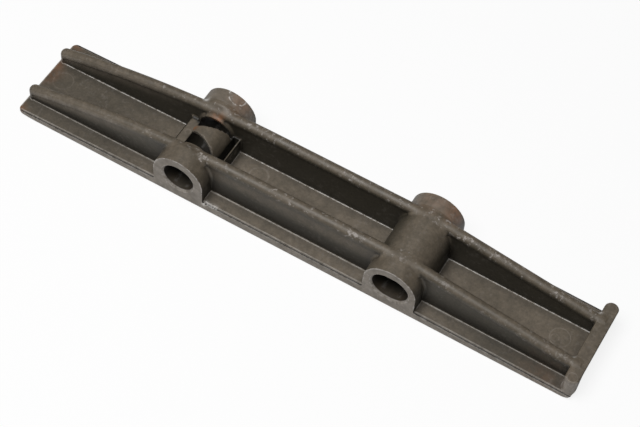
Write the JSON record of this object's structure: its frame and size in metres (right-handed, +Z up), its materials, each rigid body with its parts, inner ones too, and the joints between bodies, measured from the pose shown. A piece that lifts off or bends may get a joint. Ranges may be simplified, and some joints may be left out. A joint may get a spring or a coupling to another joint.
{
  "type": "timing chain guide",
  "caption": "Moulded plastic timing chain guide rail with a smooth sliding face, ribs on its back, cross bosses for locating pins and a spring tongue over the round pin hole.",
  "frame": {"origin": "middle of the rail on the plane of its sliding face", "axes": "+X along the rail from the thin tail to the end bar, +Y across the rail along the pin holes, +Z up from the sliding face through the ribs"},
  "size_m": [0.1662, 0.027, 0.0152],
  "materials": {
    "moulded_nylon": "satin moulded surface, warm grey-brown, lightly scuffed"
  },
  "bodies": {
    "root": {"guide_rail": "moulded_nylon"}
  },
  "joints": []
}
